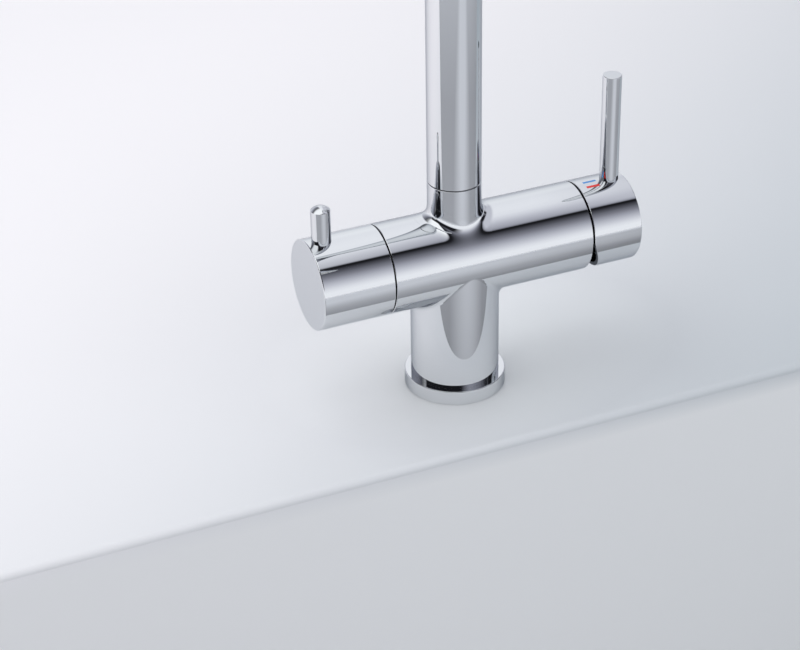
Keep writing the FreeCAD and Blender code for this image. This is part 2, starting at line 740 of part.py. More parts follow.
MARKS = {"cold_mark": "0", "hot_mark": "hot_mark_lean"}
for mark, mark_lean in MARKS.items():
    groove = slot(handle, f"{mark}_groove", "mark_length", "mark_width", "2 * mark_depth",
                  **mark_place(mark_lean))
    lean(groove, Vector(1, 0, 0), mark_lean)

# Temperature marks: two enamel dashes let into the handle beside the lever.
for mark, mark_lean in MARKS.items():
    dash = on_tube_axis(mark)
    dash_block = block(dash, f"{mark}_enamel", "mark_length", "mark_width", "mark_depth",
                       **mark_place(mark_lean))
    lean(dash_block, Vector(1, 0, 0), mark_lean)


def grip_pin(label, name, x, top):
    """A chromed pin with a threaded spigot, standing on a cap."""
    pin = new_body(label, x=x, z="tube_axis_height")
    turn(pin, "z", [
        ("0", "tube_radius - pin_seat - pin_thread_length"),
        ("pin_thread_od / 2", "tube_radius - pin_seat - pin_thread_length"),
        ("pin_thread_od / 2", "tube_radius - pin_seat"),
        (f"{name}_od / 2", "tube_radius - pin_seat"),
        (f"{name}_od / 2", top),
        ("0", top),
    ])
    return pin


def grub_screw(label, name, x, tip):
    """A grub screw that clamps a cap from below."""
    screw = on_tube_axis(label)
    rod(screw, f"{label}_bar", f"{name}_od / 2", f"{name}_length", "-z", x=x, z=f"-({tip})")
    hexagon_key = screw.newObject("PartDesign::SubtractivePrism", f"{label}_key")
    hexagon_key.Polygon = 6
    bind(hexagon_key, Circumradius=f"{name}_od / 4", Height=f"{name}_length / 2")
    place(hexagon_key, x=x, z=f"-({tip}) - {name}_length")


def screw_plug(label, x):
    """A small cap that hides a grub screw's hole."""
    plug = on_tube_axis(label)
    rod(plug, f"{label}_disc", "plug_od / 2", "cap_wall", "-z", x=x,
        z="cap_wall + plug_sink - tube_radius")


# Mixer lever, its handle's grub screw and the plug below it.
lever = grip_pin("mixer_lever", "lever", "lever_place", "tube_radius + lever_rise")
round_off(lever, "mixer_lever_edge", "lever_edge", outer_rim("z", 1))
grub_screw("handle_grub_screw", "handle_screw", "handle_screw_place",
           "stem_side / 2 + seat_clearance")
screw_plug("handle_screw_plug", "handle_screw_place")

# Filter valve body: brass headwork screwed into the left chamber, with two side windows.
headwork = turn(on_tube_axis("valve_body"), "x", [
    ("valve_inner_end", "valve_disc_od / 2 + running_clearance"),
    ("valve_inner_end", "valve_thread_od / 2"),
    ("-body_left", "valve_thread_od / 2"),
    ("-body_left", "valve_flange_od / 2"),
    ("valve_hex_start", "valve_flange_od / 2"),
    ("valve_hex_start", "valve_collar_od / 2"),
    ("valve_end", "valve_collar_od / 2"),
    ("valve_end", "spindle_radius + running_clearance"),
    ("valve_bore_end", "spindle_radius + running_clearance"),
    ("valve_bore_end", "valve_disc_od / 2 + running_clearance"),
])
hexagon(headwork, "valve_hexagon", "valve_flats", "valve_hex_length", "-x", x="valve_hex_start")
bore(headwork, "valve_spindle_bore", "spindle_radius + running_clearance",
     "valve_hex_length", "-x", x="valve_hex_start")
slot(headwork, "valve_windows", "window_height", "window_width", "valve_flange_od",
     x="valve_turning_face - window_height", y="-window_width / 2", z="-valve_flange_od / 2")

# Valve bush: rubber seat between the casting and the fixed disc.
turn(on_tube_axis("valve_bush"), "x", [
    ("-valve_floor", "valve_bush_bore / 2"),
    ("-valve_floor", "valve_bush_od / 2"),
    ("valve_disc_face", "valve_bush_od / 2"),
    ("valve_disc_face", "valve_bush_bore / 2"),
])


def valve_disc(label, face):
    """A plain ceramic disc of the filter valve."""
    disc = on_tube_axis(label)
    rod(disc, f"{label}_blank", "valve_disc_od / 2", "valve_disc_thickness", "-x", x=face)
    return disc


# Fixed disc of the filter valve: ceramic, with two windows.
still_disc = valve_disc("valve_fixed_disc", "valve_disc_face")
for way, window_z in (("upper", "disc_window_offset"), ("lower", "-disc_window_offset")):
    bore(still_disc, f"{way}_window", "disc_window_bore / 2", "valve_disc_thickness", "-x",
         x="valve_disc_face", z=window_z)

# Turning disc: ceramic, with two side channels that meet the windows after a quarter turn.
turning_disc = valve_disc("valve_turning_disc", "valve_turning_face")
CHANNEL_START = "disc_window_offset - disc_window_bore / 2"
for way, channel_y in (("back", CHANNEL_START), ("front", "-valve_disc_od / 2")):
    slot(turning_disc, f"{way}_channel", "valve_disc_thickness / 2",
         f"valve_disc_od / 2 - ({CHANNEL_START})", "disc_window_bore",
         x="valve_turning_face - valve_disc_thickness / 2", y=channel_y, z="-disc_window_bore / 2")

# Valve spindle: brass shaft that drives the turning disc, grooved for its seal and its clip.
turn(on_tube_axis("valve_spindle"), "x", [
    ("spindle_face", "0"),
    ("spindle_face", "valve_disc_od / 2 - running_clearance"),
    ("spindle_shoulder", "valve_disc_od / 2 - running_clearance"),
    ("spindle_shoulder", "spindle_radius"),
    ("spindle_groove + spindle_seal_section", "spindle_radius"),
    ("spindle_groove + spindle_seal_section", "spindle_radius - spindle_seal_section"),
    ("spindle_groove - spindle_seal_section", "spindle_radius - spindle_seal_section"),
    ("spindle_groove - spindle_seal_section", "spindle_radius"),
    ("clip_face + seat_clearance", "spindle_radius"),
    ("clip_face + seat_clearance", "spindle_radius - clip_thickness"),
    ("clip_face - clip_thickness - seat_clearance", "spindle_radius - clip_thickness"),
    ("clip_face - clip_thickness - seat_clearance", "spindle_radius"),
    ("spindle_end", "spindle_radius"),
    ("spindle_end", "0"),
])

# Spindle seal and spindle clip, each in its groove.
ring_group("spindle_seal", "spindle_seal_section", [
    ("spindle_radius + running_clearance / 2 - spindle_seal_section / 2", "spindle_groove", "0",
     "tube_axis_height")], "x")
clip = turn(on_tube_axis("spindle_clip"), "x", [
    ("clip_face", "spindle_radius - clip_thickness + seat_clearance"),
    ("clip_face", "clip_od / 2"),
    ("clip_face - clip_thickness", "clip_od / 2"),
    ("clip_face - clip_thickness", "spindle_radius - clip_thickness + seat_clearance"),
])
slot(clip, "clip_mouth", "clip_thickness", "spindle_radius", "clip_od / 2",
     x="clip_face - clip_thickness", y="-spindle_radius / 2", z="-clip_od / 2")

# Filter knob: chromed cap over the valve, with a hub on the spindle.
knob = turn(on_tube_axis("filter_knob"), "x", [
    ("knob_rim", "cap_bore_radius"),
    ("knob_rim", "tube_radius"),
    ("knob_end", "tube_radius"),
    ("knob_end", "0"),
    ("knob_hub", "0"),
    ("knob_hub", "knob_hub_od / 2"),
    ("knob_end + cap_end_wall", "knob_hub_od / 2"),
    ("knob_end + cap_end_wall", "cap_bore_radius"),
])
round_off(knob, "knob_end_edge", "cap_edge", outer_rim("x", -1))
round_off(knob, "knob_rim_edge", "edge_break", outer_rim("x", 1))
pin_seat(knob, "filter_pin", "filter_pin_place")
bore(knob, "spindle_seat", "spindle_radius + seat_clearance",
     "knob_hub - spindle_end + seat_clearance", "-x", x="knob_hub")
screw_way(knob, "knob_screw", "knob_hub_od", "knob_screw_place")

# Filter pin with its domed tip, the knob's grub screw and the plug below it.
short_pin = grip_pin("filter_pin", "filter_pin", "filter_pin_place",
                     "filter_dome_centre + filter_dome_radius * sin(filter_pin_dome)")
dome = short_pin.newObject("PartDesign::AdditiveSphere", "filter_pin_tip")
bind(dome, Radius="filter_dome_radius", Angle1="filter_pin_dome")
place(dome, z="filter_dome_centre")
grub_screw("knob_grub_screw", "knob_screw", "knob_screw_place",
           "spindle_radius + seat_clearance")
screw_plug("knob_screw_plug", "knob_screw_place")

# Slip ring: thin dark washer that the spout turns on.
turn(new_body("slip_ring"), "z", [
    ("socket_bore / 2 + seat_clearance", "neck_top"),
    ("spout_radius - slip_ring_sink", "neck_top"),
    ("spout_radius - slip_ring_sink", "neck_top + slip_ring_thickness"),
    ("socket_bore / 2 + seat_clearance", "neck_top + slip_ring_thickness"),
])

# Stop screw: grub screw at the back of the neck, whose tip runs in the insert's slot.
stop_screw = new_body("stop_screw", z="stop_height")
rod(stop_screw, "stop_screw_bar", "stop_screw_od / 2",
    "spout_radius - slip_ring_sink - stop_slot_radius - stop_tip_play", "y",
    y="stop_slot_radius + stop_tip_play")

# A torus's own half turn from +X over +Y, stood up so that it goes over the top to the front
ARCH_PLANE = Rotation(Vector(0, -1, 0), Vector(0, 0, 1), Vector(-1, 0, 0))


def bent_tube(label, outer, wall, bottom, end):
    """A tube that rises on the axis, goes over the arch and comes down to its end."""
    tube = new_body(label)
    for way, radius, kind in (("outer", outer, "Additive"),
                              ("inner", f"{outer} - {wall}", "Subtractive")):
        rod(tube, f"{label}_{way}_riser", radius, f"arc_height - ({bottom})", z=bottom, kind=kind)
        rod(tube, f"{label}_{way}_leg", radius, f"arc_height - ({end})", y="outlet_place", z=end,
            kind=kind)
        bend = tube.newObject(f"PartDesign::{kind}Torus", f"{label}_{way}_arch")
        bind(bend, Radius1="arc_radius", Radius2=radius)
        bend.Angle3 = 180
        place(bend, y="-arc_radius", z="arc_height", rotation=ARCH_PLANE)


# Spout tube: chromed brass tube, bent to a half circle.
bent_tube("spout_tube", "spout_radius", "spout_wall", "spout_bottom",
          "outlet_height + aerator_lip")

# Filtered water tube: plastic inner tube, which keeps the filtered water apart up to the outlet.
bent_tube("filter_water_tube", "filter_tube_od / 2", "filter_tube_wall", "filter_tube_foot",
          "outlet_height + aerator_recess + aerator_insert_height - aerator_socket_depth")


def groove_corners(middle, half, floor):
    """The four corners of a groove round the insert."""
    return [
        ("insert_radius", f"{middle} - ({half})"),
        (floor, f"{middle} - ({half})"),
        (floor, f"{middle} + ({half})"),
        ("insert_radius", f"{middle} + ({half})"),
    ]


# Spout insert: brass swivel nipple fixed in the spout's foot, with grooves for its rings.
SEAL_HEIGHTS = ["seal_low", "seal_high"]
insert = new_body("spout_insert")
turn(insert, "z", [
    ("insert_bore / 2", "insert_bottom"),
    ("insert_radius", "insert_bottom"),
    *groove_corners("bush_middle", "bush_height / 2 + seat_clearance",
                    "insert_radius - bush_depth"),
    *[corner for height in SEAL_HEIGHTS
      for corner in groove_corners(height, "insert_seal_section / 2 + running_clearance",
                                   "insert_radius - insert_seal_section")],
    ("insert_radius", "spout_bottom"),
    ("spout_bore_radius - thread_clearance", "spout_bottom"),
    ("spout_bore_radius - thread_clearance", "spout_bottom + insert_grip"),
    ("insert_bore / 2", "spout_bottom + insert_grip"),
])
stop_profile = sketch_on(insert, "stop_slot_profile", "YZ_Plane")
outline(stop_profile, [
    ("stop_slot_radius", "stop_height - stop_slot_half"),
    ("socket_bore / 2", "stop_height - stop_slot_half"),
    ("socket_bore / 2", "stop_height + stop_slot_half"),
    ("stop_slot_radius", "stop_height + stop_slot_half"),
])
stop_slot = insert.newObject("PartDesign::Groove", "stop_slot")
stop_slot.Profile = stop_profile
stop_slot.ReferenceAxis = (stop_profile, ["V_Axis"])
stop_slot.Midplane = True
bind(stop_slot, Angle="2 * swivel_each_way * 1 deg + 2 * asin(stop_slot_half / stop_slot_radius)")

# Spout seals: two rubber rings on the insert.
ring_group("spout_seals", "insert_seal_section", [
    ("insert_radius + running_clearance / 2 - insert_seal_section / 2", "0", "0", height)
    for height in SEAL_HEIGHTS])

# Swivel bush: plastic bearing ring low on the insert.
turn(new_body("swivel_bush"), "z", [
    ("insert_radius - bush_depth + seat_clearance", "bush_middle - bush_height / 2"),
    ("insert_radius + running_clearance / 2", "bush_middle - bush_height / 2"),
    ("insert_radius + running_clearance / 2", "bush_middle + bush_height / 2"),
    ("insert_radius - bush_depth + seat_clearance", "bush_middle + bush_height / 2"),
])

# Aerator housing: chromed ring screwed into the spout's end.
turn(new_body("aerator_housing", y="outlet_place", z="outlet_height"), "z", [
    ("aerator_bore / 2", "0"),
    ("aerator_lip_od / 2", "0"),
    ("aerator_lip_od / 2", "aerator_lip - seat_clearance"),
    ("spout_bore_radius - thread_clearance", "aerator_lip - seat_clearance"),
    ("spout_bore_radius - thread_clearance", "aerator_lip + aerator_thread_length"),
    ("aerator_bore / 2", "aerator_lip + aerator_thread_length"),
])

# Aerator insert: plastic plate with a ring of jets and the filtered water's own nozzle.
jets = new_body("aerator_insert", y="outlet_place", z="outlet_height + aerator_recess")
rod(jets, "jet_plate", "aerator_bore / 2 - seat_clearance", "aerator_insert_height")
bore(jets, "filter_socket", "filter_tube_od / 2 + seat_clearance",
     "aerator_socket_depth + seat_clearance",
     z="aerator_insert_height - aerator_socket_depth - seat_clearance")
bore(jets, "filter_nozzle", "filter_tube_od / 2 - filter_tube_wall", "aerator_insert_height")
first_jet = bore(jets, "first_jet", "aerator_jet_bore / 2", "aerator_insert_height",
                 x="aerator_jet_circle / 2")
jet_ring = jets.newObject("PartDesign::PolarPattern", "jet_ring")
jet_ring.Originals = [first_jet]
jet_ring.Axis = (next(item for item in jets.Origin.OriginFeatures if item.Role == "Z_Axis"), [""])
jet_ring.Angle = 360
bind(jet_ring, Occurrences="aerator_jet_count")
jets.Tip = jet_ring

# Aerator seal: rubber washer above the housing.
turn(new_body("aerator_seal", y="outlet_place",
              z="outlet_height + aerator_lip + aerator_thread_length"), "z", [
    ("aerator_seal_bore / 2", "0"),
    ("spout_bore_radius - seat_clearance", "0"),
    ("spout_bore_radius - seat_clearance", "aerator_seal_height"),
    ("aerator_seal_bore / 2", "aerator_seal_height"),
])

doc.recompute()

# Every object has to be sound before anything is written
for item in doc.Objects:
    if any(word in item.State for word in ("Invalid", "Error")):
        raise RuntimeError(f"{item.Label} failed: {item.State}")
for part in sub_parts:
    if part.Shape.isNull() or not part.Shape.isValid():
        raise RuntimeError(f"{part.Label} has no valid shape")

os.makedirs("parts", exist_ok=True)
for part in sub_parts:
    part.Shape.exportStep(f"parts/{part.Label}.step")
    print(f"{part.Label}: {len(part.Shape.Solids)} solid(s), {part.Shape.Volume:.1f} mm3")
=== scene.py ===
import math

import bpy
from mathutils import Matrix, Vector


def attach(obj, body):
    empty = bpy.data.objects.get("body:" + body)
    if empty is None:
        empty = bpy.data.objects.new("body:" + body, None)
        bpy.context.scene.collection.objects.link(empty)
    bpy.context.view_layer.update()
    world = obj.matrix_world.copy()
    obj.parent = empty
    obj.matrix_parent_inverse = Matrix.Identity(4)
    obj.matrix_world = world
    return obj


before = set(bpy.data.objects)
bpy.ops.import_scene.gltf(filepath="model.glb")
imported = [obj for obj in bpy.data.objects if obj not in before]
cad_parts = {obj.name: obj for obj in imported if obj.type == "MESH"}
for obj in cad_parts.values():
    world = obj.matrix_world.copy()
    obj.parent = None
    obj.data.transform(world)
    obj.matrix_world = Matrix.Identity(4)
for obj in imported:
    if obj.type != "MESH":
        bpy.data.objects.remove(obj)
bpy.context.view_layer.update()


# Tap body: one brass casting with the column, the cross tube and the neck, ground, buffed and chromed.
# The plating mirrors the room with a faint ripple from the buffing wheel, and is rubbed duller at the rims.
def feed(node, feeds):
    """Links sockets to a node's inputs, and sets plain values on them."""
    for place, value in feeds.items():
        if isinstance(value, bpy.types.NodeSocket):
            node.id_data.links.new(value, node.inputs[place])
        else:
            node.inputs[place].default_value = value


def add_node(tree, kind, feeds, **settings):
    """A new node of that kind, with its settings made and its inputs fed."""
    node = tree.nodes.new("ShaderNode" + kind)
    for setting, value in settings.items():
        setattr(node, setting, value)
    feed(node, feeds)
    return node


def start_finish(name):
    """A new finish, with its nodes and its shader."""
    finish = bpy.data.materials.new(name)
    finish.use_nodes = True
    return finish, finish.node_tree, finish.node_tree.nodes["Principled BSDF"]


def speckle(tree, scale, stretch=(1, 1, 1), detail=3.0):
    """A cloudy noise on the piece, finer along the directions with the larger stretch."""
    place = add_node(tree, "TexCoord", {})
    mapping = add_node(tree, "Mapping", {"Vector": place.outputs["Object"], "Scale": stretch})
    noise = add_node(tree, "TexNoise", {"Vector": mapping.outputs["Vector"],
                                        "Scale": scale, "Detail": detail})
    return noise.outputs["Fac"]


def spread(source, onto=(0.0, 1.0), over=(0.3, 0.7)):
    """The source's values over one range, spread onto another and held at its ends."""
    span = add_node(source.id_data, "MapRange", {"Value": source, "From Min": over[0], "From Max": over[1],
                                                 "To Min": onto[0], "To Max": onto[1]})
    return span.outputs["Result"]


def reckon(operation, first, second):
    """Two values put together by one step of arithmetic."""
    return add_node(first.id_data, "Math", {0: first, 1: second}, operation=operation).outputs["Value"]


def blend_tones(share, first, second):
    """The first tone where the share is 0, going over into the second where it is 1."""
    tones = add_node(share.id_data, "Mix", {"Factor": share, "A": (*first, 1), "B": (*second, 1)},
                     data_type="RGBA")
    return tones.outputs["Result"]


def rim_share(tree, width):
    """1 along the piece's edges, about that wide, and 0 on its flats."""
    turned, flat = 0.86, 0.985
    softened = add_node(tree, "Bevel", {"Radius": width})
    surface = add_node(tree, "NewGeometry", {})
    along = add_node(tree, "VectorMath", {0: softened.outputs["Normal"], 1: surface.outputs["Normal"]},
                     operation="DOT_PRODUCT")
    return spread(along.outputs["Value"], onto=(1.0, 0.0), over=(turned, flat))


def ripple(shader, height, depth):
    """A fine unevenness of the skin, that deep."""
    bump = add_node(shader.id_data, "Bump", {"Height": height, "Strength": 1.0, "Distance": depth})
    feed(shader, {"Normal": bump.outputs["Normal"]})


def chrome_finish(name, buffed_along, edge_tint=(0.52, 0.54, 0.57)):
    """Bright plating, a little darker where it is seen edge on and paler at the rims."""
    plate, rubbed = (0.81, 0.82, 0.835), (0.87, 0.875, 0.88)
    rim_width, rim_wear = 0.0005, 0.08
    hairline_scale, hairline_detail, hairline_polish = 90, 4.0, (0.018, 0.05)
    wave_scale, wave_detail, wave_depth = 70, 1.0, 0.000006
    finish, tree, shader = start_finish(name)
    rims = rim_share(tree, rim_width)
    hairlines = speckle(tree, hairline_scale, buffed_along, hairline_detail)
    wear = spread(rims, onto=(0.0, rim_wear), over=(0.0, 1.0))
    feed(shader, {"Metallic": 1.0,
                  "Specular Tint": (*edge_tint, 1),
                  "Base Color": blend_tones(rims, plate, rubbed),
                  "Roughness": reckon("ADD", spread(hairlines, onto=hairline_polish), wear)})
    ripple(shader, speckle(tree, wave_scale, detail=wave_detail), wave_depth)
    return finish


def dress(finish, *pieces):
    """Puts a finish on pieces of the frame."""
    for piece in pieces:
        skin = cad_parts[piece]
        skin.data.materials.clear()
        skin.data.materials.append(finish)


cast_chrome = chrome_finish("cast_chrome", (6, 6, 6))
dress(cast_chrome, "tap_body")


# Neck blend: the casting's metal swells from the cross tube into the neck in a narrow band, left by the
# grinding belt. It is a little wider at the sides, along the tube's top, than in front and behind.
neck_radius = 0.014
tube_radius = 0.02375
tube_height = 0.0775
blend_width_front = 0.0066
blend_width_side = 0.0078
blend_power = 3
blend_proud = 0.00002
blend_root = 0.001
blend_turns = 192
blend_rows = 36


def tube_skin(out, ahead, proud):
    """Height of the cross tube's skin, raised by proud, that far out from the neck's axis."""
    return tube_height + math.sqrt((tube_radius + proud) ** 2 - (out * ahead) ** 2)


def blend_point(angle, share):
    """A point of the blend, from the neck's wall at share 0 to the cross tube at share 1."""
    ahead, aside = math.cos(angle), math.sin(angle)
    width = blend_width_front * ahead ** 2 + blend_width_side * aside ** 2
    lead = (2 * share - 1) * width
    fill = (1 - abs(lead) / width) ** blend_power * width / (2 * blend_power)
    off_neck, off_tube = (fill + lead, fill) if lead > 0 else (fill, fill - lead)
    out = neck_radius + off_neck
    return Vector((out * aside, -out * ahead, tube_skin(out, ahead, off_tube)))


def blend_normal(angle, share):
    """The direction that the blend's skin faces at that point."""
    step = 0.001
    low, high = max(share - step, 0), min(share + step, 1)
    down = blend_point(angle, high) - blend_point(angle, low)
    around = blend_point(angle + step, share) - blend_point(angle - step, share)
    return down.cross(around).normalized()


blend_skin, blend_lean, blend_faces = [], [], []
for turn in range(blend_turns):
    angle = 2 * math.pi * turn / blend_turns
    ahead, aside = math.cos(angle), math.sin(angle)
    for row in range(blend_rows + 1):
        lean = blend_normal(angle, row / blend_rows)
        blend_skin.append(blend_point(angle, row / blend_rows) + lean * blend_proud)
        blend_lean.append(lean)
    sunk = neck_radius - blend_root
    top, foot = blend_skin[-blend_rows - 1], blend_skin[-1]
    for buried in (foot - Vector((0, 0, blend_root)),
                   Vector((sunk * aside, -sunk * ahead, tube_skin(sunk, ahead, -blend_root))),
                   Vector((sunk * aside, -sunk * ahead, top.z))):
        blend_skin.append(buried)
        blend_lean.append(Vector((-aside, ahead, 0)))
blend_loop = len(blend_skin) // blend_turns
for turn in range(blend_turns):
    here, there = turn * blend_loop, (turn + 1) % blend_turns * blend_loop
    for row in range(blend_loop):
        below = (row + 1) % blend_loop
        blend_faces.append((here + row, here + below, there + below, there + row))
blend_mesh = bpy.data.meshes.new("neck_blend")
blend_mesh.from_pydata(blend_skin, [], blend_faces)
blend_mesh.shade_smooth()
blend_mesh.normals_split_custom_set_from_vertices(blend_lean)
blend_mesh.materials.append(cast_chrome)
neck_blend = bpy.data.objects.new("neck_blend", blend_mesh)
bpy.context.scene.collection.objects.link(neck_blend)
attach(neck_blend, "tap_frame")


# Foot ring: a turned brass ring, chromed like the body, that the column stands in. The fixing stud pulls
# the body down on it, and it presses the gasket in its underside onto what the tap stands on.
turned_chrome = chrome_finish("turned_chrome", (2, 2, 40))
dress(turned_chrome, "base_ring")


# Foot gasket and clamp washer: soft black rubber, moulded, with a dull skin that picks up a little dust.
# The gasket lies in the foot ring's groove, and the horseshoe washer on the clamp.
rubber_black, rubber_dusty = (0.012, 0.012, 0.013), (0.045, 0.044, 0.043)
dust_scale, dust_detail = 420, 5.0
rubber_grain_scale, rubber_grain_depth = 2200, 0.00004
black_rubber, tree, shader = start_finish("black_rubber")
dust = speckle(tree, dust_scale, detail=dust_detail)
feed(shader, {"Base Color": blend_tones(spread(dust, over=(0.42, 0.75)), rubber_black, rubber_dusty),
              "Roughness": spread(dust, onto=(0.55, 0.8)),
              "Specular IOR Level": 0.35})
ripple(shader, speckle(tree, rubber_grain_scale), rubber_grain_depth)
dress(black_rubber, "base_gasket", "rubber_horseshoe")


# Clamp: a threaded stud, a pressed horseshoe and a hexagon nut, all of zinc plated steel. The stud screws
# into the body from below, and the nut pulls the horseshoe up against the rubber.
zinc_dull, zinc_bright = (0.50, 0.50, 0.49), (0.64, 0.645, 0.65)
zinc_scale, zinc_detail = 160, 5.0
draw_scale, draw_along, draw_detail, draw_depth = 300, (1, 1, 8), 4.0, 0.00001
steel_rim_width, steel_rim_wear = 0.0004, -0.1
plated_steel, tree, shader = start_finish("plated_steel")
zinc_cloud = speckle(tree, zinc_scale, detail=zinc_detail)
draw_marks = speckle(tree, draw_scale, draw_along, draw_detail)
wear = spread(rim_share(tree, steel_rim_width), onto=(0.0, steel_rim_wear), over=(0.0, 1.0))
feed(shader, {"Metallic": 1.0,
              "Base Color": blend_tones(spread(zinc_cloud), zinc_dull, zinc_bright),
              "Roughness": reckon("ADD", spread(draw_marks, onto=(0.24, 0.42)), wear)})
ripple(shader, draw_marks, draw_depth)
dress(plated_steel, "fixing_stud", "steel_horseshoe", "fixing_nut")


# Mixer cartridge: moulded white plastic base, housing, rotor and disc carrier, two polished ceramic discs
# and rubber ring seals. A brass nut screws it into the body and a dark plastic cover hides it.
def moulded_finish(name, base, flow, roughness):
    """Plastic as it leaves the mould, with faint flow marks and a fine grain."""
    flow_scale, flow_detail = 120, 4.0
    grain_scale, grain_depth = 1800, 0.00002
    finish, tree, shader = start_finish(name)
    flow_marks = speckle(tree, flow_scale, detail=flow_detail)
    feed(shader, {"Base Color": blend_tones(spread(flow_marks), base, flow),
                  "Roughness": spread(flow_marks, onto=roughness)})
    ripple(shader, speckle(tree, grain_scale), grain_depth)
    return finish


def brass_finish(name, turned_along):
    """Plain turned brass, tarnished in places, with the tool's fine rings."""
    bright, tarnished = (0.80, 0.60, 0.30), (0.62, 0.44, 0.20)
    tarnish_scale, tarnish_detail = 140, 5.0
    tool_scale, tool_detail, tool_depth = 60, 2.0, 0.000012
    finish, tree, shader = start_finish(name)
    tarnish = speckle(tree, tarnish_scale, detail=tarnish_detail)
    tool_marks = speckle(tree, tool_scale, turned_along, tool_detail)
    feed(shader, {"Metallic": 1.0,
                  "Base Color": blend_tones(spread(tarnish), bright, tarnished),
                  "Roughness": spread(tool_marks, onto=(0.16, 0.32))})
    ripple(shader, tool_marks, tool_depth)
    return finish


ceramic_white, ceramic_grey = (0.86, 0.85, 0.82), (0.78, 0.77, 0.74)
ceramic_scale, ceramic_detail, ceramic_depth = 900, 6.0, 0.000006
disc_ceramic, tree, shader = start_finish("disc_ceramic")
ceramic_grain = speckle(tree, ceramic_scale, detail=ceramic_detail)
feed(shader, {"Base Color": blend_tones(spread(ceramic_grain), ceramic_white, ceramic_grey),
              "Roughness": spread(ceramic_grain, onto=(0.12, 0.24))})
ripple(shader, ceramic_grain, ceramic_depth)
white_plastic = moulded_finish("white_plastic", (0.80, 0.80, 0.78), (0.74, 0.74, 0.72), (0.34, 0.46))
dark_plastic = moulded_finish("dark_plastic", (0.030, 0.031, 0.033), (0.045, 0.046, 0.048), (0.36, 0.5))
cross_brass = brass_finish("cross_brass", (60, 1, 1))
dress(white_plastic, "cartridge_base", "cartridge_housing", "cartridge_rotor", "disc_carrier")
dress(disc_ceramic, "fixed_disc", "moving_disc")
dress(black_rubber, "cartridge_seals")
dress(plated_steel, "pivot_pin")
dress(cross_brass, "cartridge_nut")
dress(dark_plastic, "cartridge_cover")


# Mixer handle: a chromed brass cap on the cartridge's steel stem, fixed by a grub screw under a plug, with a
# slim pin lever pressed into its top. Inside its rim the hollow is coloured near black as painted shade. A
# blue and a red enamelled dash mark cold and hot.
def lay_over(behind, share, tone):
    """The tone behind, with another laid over it where the share is full."""
    cover = tone if isinstance(tone, bpy.types.NodeSocket) else (*tone, 1)
    laid = add_node(share.id_data, "Mix", {"Factor": share, "A": behind, "B": cover}, data_type="RGBA")
    return laid.outputs["Result"]


# The inside of the cap is near black: painted shade in the hollow.
hollow_painted_shade = (0.022, 0.019, 0.016)
hollow_wall = (0.0233, 0.0235)
hollow_end = (0.079, 0.080)
handle_chrome = chrome_finish("handle_chrome", (40, 2, 2))
tree = handle_chrome.node_tree
place = add_node(tree, "TexCoord", {}).outputs["Object"]
along = add_node(tree, "SeparateXYZ", {"Vector": place}).outputs["X"]
off_axis = add_node(tree, "Mapping", {"Vector": place, "Location": (0, 0, -tube_height),
                                      "Scale": (0, 1, 1)}).outputs["Vector"]
out = add_node(tree, "VectorMath", {0: off_axis}, operation="LENGTH").outputs["Value"]
hollow_shade_share = reckon("MULTIPLY", spread(out, onto=(1.0, 0.0), over=hollow_wall),
                spread(along, onto=(1.0, 0.0), over=hollow_end))
handle_tone = tree.nodes["Principled BSDF"].inputs["Base Color"]
tree.links.new(lay_over(handle_tone.links[0].from_socket, hollow_shade_share, hollow_painted_shade), handle_tone)
dress(handle_chrome, "mixer_handle")
dress(turned_chrome, "mixer_lever")
dress(plated_steel, "lever_stem", "handle_grub_screw")
dress(dark_plastic, "handle_screw_plug")


def enamel_finish(name, fired, thin):
    """Fired enamel, a little lighter where it lies thin."""
    pool_scale, pool_detail, pool_depth = 700, 4.0, 0.00001
    finish, tree, shader = start_finish(name)
    pooling = speckle(tree, pool_scale, detail=pool_detail)
    feed(shader, {"Base Color": blend_tones(spread(pooling), fired, thin),
                  "Roughness": spread(pooling, onto=(0.18, 0.3))})
    ripple(shader, pooling, pool_depth)
    return finish


dress(enamel_finish("cold_enamel", (0.05, 0.24, 0.62), (0.08, 0.30, 0.68)), "cold_mark")
dress(enamel_finish("hot_enamel", (0.72, 0.035, 0.03), (0.78, 0.06, 0.05)), "hot_mark")


# Filter valve: a turned brass body with two ceramic discs, pressed into the tube's left end. Its spindle
# turns in the body, sealed by a rubber ring and held by a spring steel clip.
dress(cross_brass, "valve_body", "valve_spindle")
dress(disc_ceramic, "valve_fixed_disc", "valve_turning_disc")
dress(black_rubber, "valve_bush", "spindle_seal")
dress(plated_steel, "spindle_clip")


# Filter knob: a chromed brass cap on the valve's spindle, turned by a short pin, and fixed by a grub
# screw under a plug like the mixer handle.
cross_chrome = chrome_finish("cross_chrome", (40, 2, 2), edge_tint=(0.68, 0.70, 0.72))
dress(cross_chrome, "filter_knob")
dress(turned_chrome, "filter_pin")
dress(plated_steel, "knob_grub_screw")
dress(dark_plastic, "knob_screw_plug")


# Swivel joint: the brass insert on the spout's foot turns in the neck on a white plastic bush, sealed by
# two rubber rings. A dark slip ring fills the joint, and a screw in the neck limits the swing.
upright_brass = brass_finish("upright_brass", (1, 1, 60))
dress(upright_brass, "spout_insert")
dress(white_plastic, "swivel_bush")
dress(black_rubber, "spout_seals")
dress(dark_plastic, "slip_ring")
dress(plated_steel, "stop_screw")


# Spout: a bent and chromed brass tube with a thin inner tube for the filtered water. The aerator's chromed
# housing screws into its end, with a moulded insert and a rubber seal.
dress(turned_chrome, "spout_tube", "aerator_housing")
dress(white_plastic, "filter_water_tube", "aerator_insert")
dress(black_rubber, "aerator_seal")
